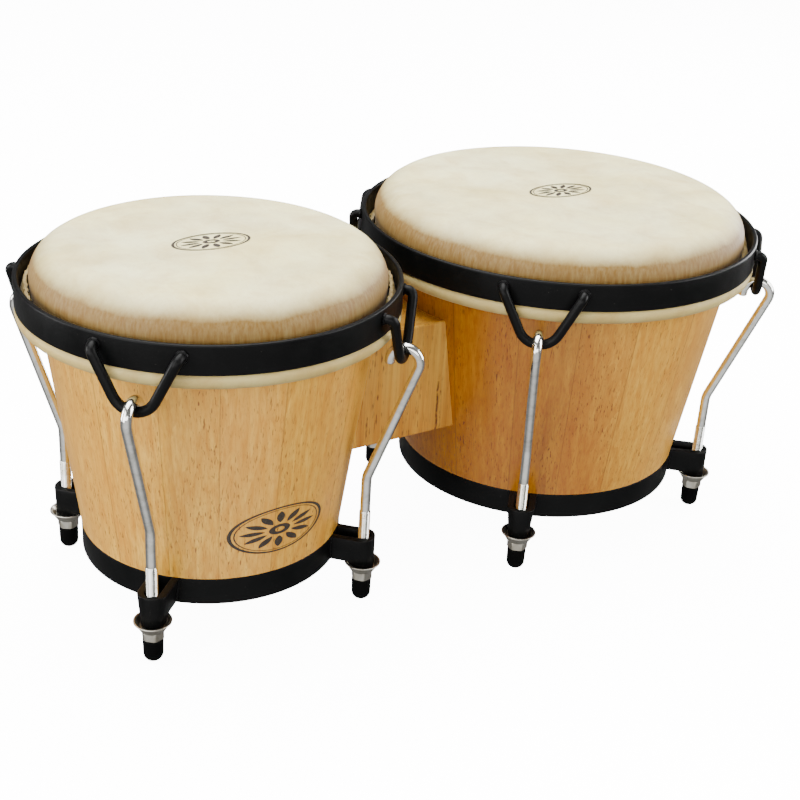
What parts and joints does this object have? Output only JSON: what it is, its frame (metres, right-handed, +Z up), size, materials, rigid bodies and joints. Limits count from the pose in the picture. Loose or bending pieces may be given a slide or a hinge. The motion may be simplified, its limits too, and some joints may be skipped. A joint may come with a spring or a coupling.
{
  "type": "bongo drums",
  "caption": "Pair of tapered wooden hand drums of two sizes joined by a wood block, with hide heads, black hoops, hooked tension rods and rubber tips.",
  "frame": {"origin": "on the floor plane under the middle of the overall box", "axes": "+Z up; X through both drum axes, small drum at -X, large drum at +X; -Y is the side the player faces"},
  "size_m": [0.4218, 0.2228, 0.1887],
  "materials": {
    "shell_wood": "clear satin lacquer over pale ring-porous hardwood",
    "block_wood": "clear satin lacquer",
    "rawhide": "natural translucent rawhide",
    "black_steel": "semi-gloss black powder coat",
    "rod_chrome": "bright chrome plate",
    "zinc_plate": "zinc plate, slightly yellow",
    "ring_wire": "plain drawn wire",
    "tip_rubber": "matte black rubber"
  },
  "bodies": {
    "shells": {"small_shell": "shell_wood", "small_head": "rawhide", "small_bottom_ring": "black_steel", "small_lugs": "black_steel", "small_cup_washers": "zinc_plate", "large_shell": "shell_wood", "large_head": "rawhide", "large_bottom_ring": "black_steel", "large_lugs": "black_steel", "large_cup_washers": "zinc_plate", "block": "block_wood", "block_washers": "zinc_plate", "block_bolts": "zinc_plate"},
    "small_hoop_set": {"small_hoop": "black_steel", "small_flesh_ring": "ring_wire", "small_skin_collar": "rawhide", "small_ears": "black_steel", "small_tension_rods": "rod_chrome", "small_rubber_tips": "tip_rubber"},
    "large_hoop_set": {"large_hoop": "black_steel", "large_flesh_ring": "ring_wire", "large_skin_collar": "rawhide", "large_ears": "black_steel", "large_tension_rods": "rod_chrome", "large_rubber_tips": "tip_rubber"},
    "small_nut_1_body": {"small_nut_1": "zinc_plate"},
    "small_nut_2_body": {"small_nut_2": "zinc_plate"},
    "small_nut_3_body": {"small_nut_3": "zinc_plate"},
    "small_nut_4_body": {"small_nut_4": "zinc_plate"},
    "large_nut_1_body": {"large_nut_1": "zinc_plate"},
    "large_nut_2_body": {"large_nut_2": "zinc_plate"},
    "large_nut_3_body": {"large_nut_3": "zinc_plate"},
    "large_nut_4_body": {"large_nut_4": "zinc_plate"}
  },
  "joints": [
    {"name": "small_tuning", "type": "slide", "parent": "shells", "child": "small_hoop_set", "axis": [0, 0, 1], "range_m": [-0.008, 0]},
    {"name": "large_tuning", "type": "slide", "parent": "shells", "child": "large_hoop_set", "axis": [0, 0, 1], "range_m": [-0.008, 0]},
    {"name": "small_nut_1_turn", "type": "hinge", "parent": "shells", "child": "small_nut_1_body", "pos_m": [-0.05702, 0.05856, 0.0153], "axis": [0, 0, 1], "range_deg": [0, 2881]},
    {"name": "small_nut_2_turn", "type": "hinge", "parent": "shells", "child": "small_nut_2_body", "pos_m": [-0.17496, 0.05938, 0.0153], "axis": [0, 0, 1], "range_deg": [0, 2881]},
    {"name": "small_nut_3_turn", "type": "hinge", "parent": "shells", "child": "small_nut_3_body", "pos_m": [-0.17578, -0.05856, 0.0153], "axis": [0, 0, 1], "range_deg": [0, 2881]},
    {"name": "small_nut_4_turn", "type": "hinge", "parent": "shells", "child": "small_nut_4_body", "pos_m": [-0.05784, -0.05938, 0.0153], "axis": [0, 0, 1], "range_deg": [0, 2881]},
    {"name": "large_nut_1_turn", "type": "hinge", "parent": "shells", "child": "large_nut_1_body", "pos_m": [0.1647, 0.07343, 0.0153], "axis": [0, 0, 1], "range_deg": [0, 2881]},
    {"name": "large_nut_2_turn", "type": "hinge", "parent": "shells", "child": "large_nut_2_body", "pos_m": [0.02607, 0.0652, 0.0153], "axis": [0, 0, 1], "range_deg": [0, 2881]},
    {"name": "large_nut_3_turn", "type": "hinge", "parent": "shells", "child": "large_nut_3_body", "pos_m": [0.0343, -0.07343, 0.0153], "axis": [0, 0, 1], "range_deg": [0, 2881]},
    {"name": "large_nut_4_turn", "type": "hinge", "parent": "shells", "child": "large_nut_4_body", "pos_m": [0.17293, -0.0652, 0.0153], "axis": [0, 0, 1], "range_deg": [0, 2881]}
  ],
  "couplings": [
    {"joint": "small_nut_1_turn", "follows": "small_tuning", "rad_per_m": -6283.2},
    {"joint": "small_nut_2_turn", "follows": "small_tuning", "rad_per_m": -6283.2},
    {"joint": "small_nut_3_turn", "follows": "small_tuning", "rad_per_m": -6283.2},
    {"joint": "small_nut_4_turn", "follows": "small_tuning", "rad_per_m": -6283.2},
    {"joint": "large_nut_1_turn", "follows": "large_tuning", "rad_per_m": -6283.2},
    {"joint": "large_nut_2_turn", "follows": "large_tuning", "rad_per_m": -6283.2},
    {"joint": "large_nut_3_turn", "follows": "large_tuning", "rad_per_m": -6283.2},
    {"joint": "large_nut_4_turn", "follows": "large_tuning", "rad_per_m": -6283.2}
  ]
}
